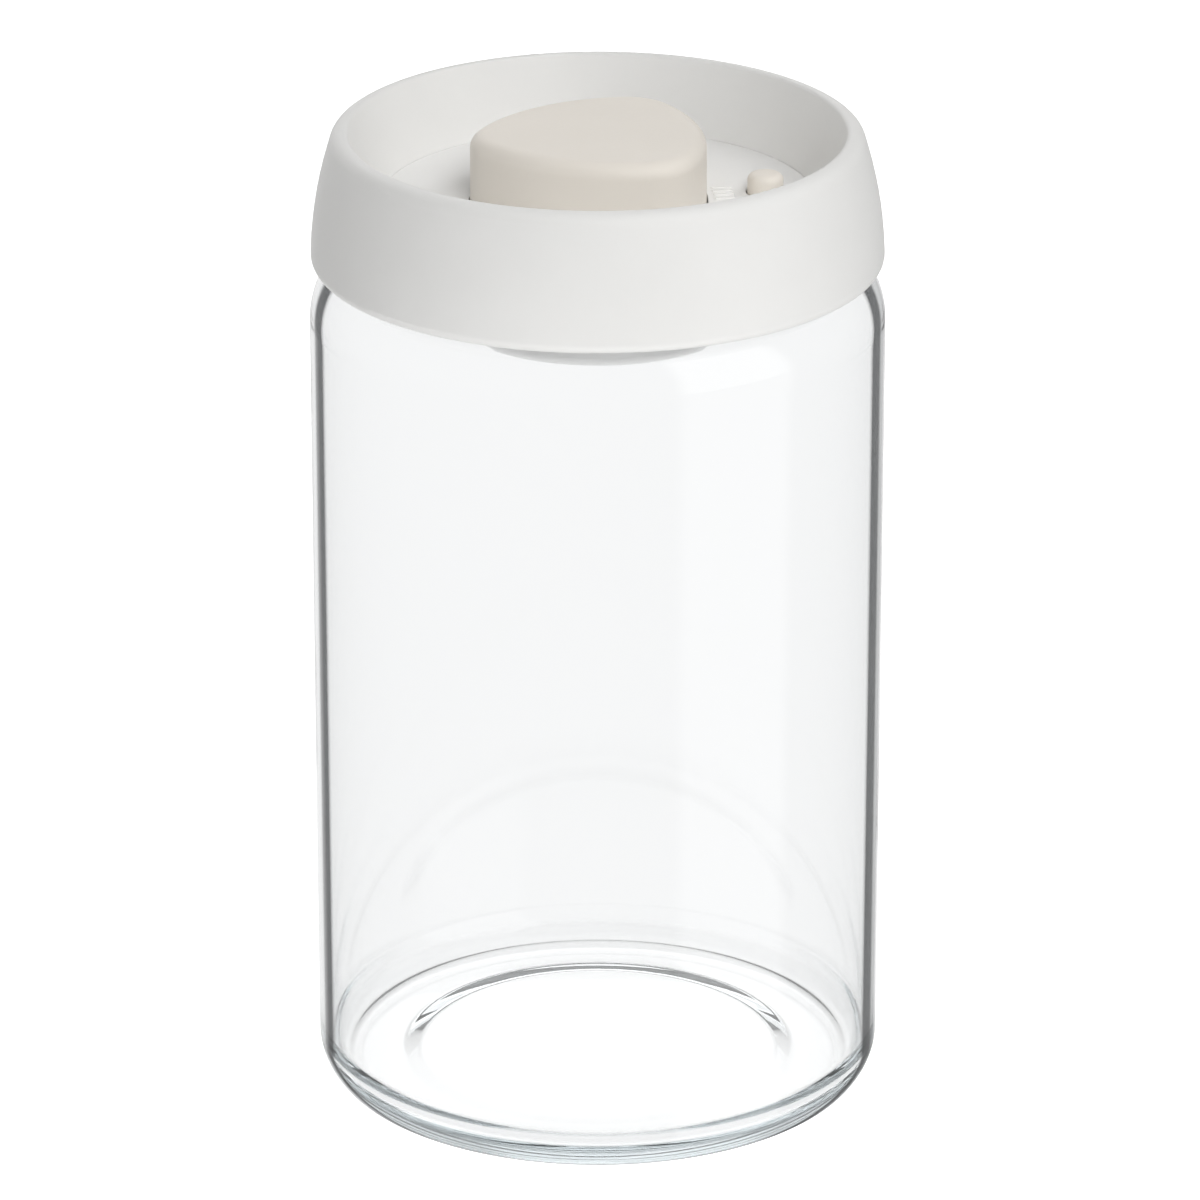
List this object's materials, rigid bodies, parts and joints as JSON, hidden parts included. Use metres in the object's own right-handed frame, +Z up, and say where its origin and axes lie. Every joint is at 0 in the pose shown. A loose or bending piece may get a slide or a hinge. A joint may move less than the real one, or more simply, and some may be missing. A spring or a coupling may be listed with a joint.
{
  "type": "vacuum seal canister",
  "caption": "Clear glass food canister with an off-white lid that has a press pump with a beige button and a small air release button.",
  "frame": {"origin": "centre of the base, on the surface that the jar stands on", "axes": "+Z up along the jar's axis, +X from the axis towards the release button, XZ is the lid's mirror plane"},
  "size_m": [0.112, 0.112, 0.196],
  "materials": {
    "clear_glass": "clear, polished",
    "collar_white": "off-white, fine moulded grain",
    "button_beige": "beige, soft matt",
    "inner_white": "white, smooth",
    "silicone": "milky silicone rubber",
    "steel": "bright stainless steel",
    "steel_mesh": "fine woven stainless steel"
  },
  "bodies": {
    "jar": {"glass_jar": "clear_glass"},
    "lid": {"lid_collar": "collar_white", "dish_floor_plate": "collar_white", "lid_base": "inner_white", "main_seal": "silicone", "lid_screws": "steel", "pump_cylinder": "inner_white", "cylinder_gasket": "silicone", "intake_valve": "silicone", "filter_mesh": "steel_mesh", "filter_cap": "inner_white", "return_spring": "steel", "release_spring": "steel"},
    "pump": {"pump_button": "button_beige", "piston": "inner_white", "piston_seal": "silicone", "exhaust_valve": "silicone", "piston_screw": "steel"},
    "release": {"release_button": "button_beige", "release_stem": "inner_white", "release_seal": "silicone", "release_clip": "steel"}
  },
  "joints": [
    {"name": "lid_lift", "type": "slide", "parent": "jar", "child": "lid", "axis": [0, 0, 1], "range_m": [0, 0.12]},
    {"name": "pump_press", "type": "slide", "parent": "lid", "child": "pump", "axis": [0, 0, -1], "range_m": [0, 0.0092], "stiffness_N_per_m": 600, "springref_m": -0.006, "deforming": ["return_spring"]},
    {"name": "release_press", "type": "slide", "parent": "lid", "child": "release", "axis": [0, 0, -1], "range_m": [0, 0.0025], "stiffness_N_per_m": 300, "springref_m": -0.004, "deforming": ["release_spring"]}
  ]
}
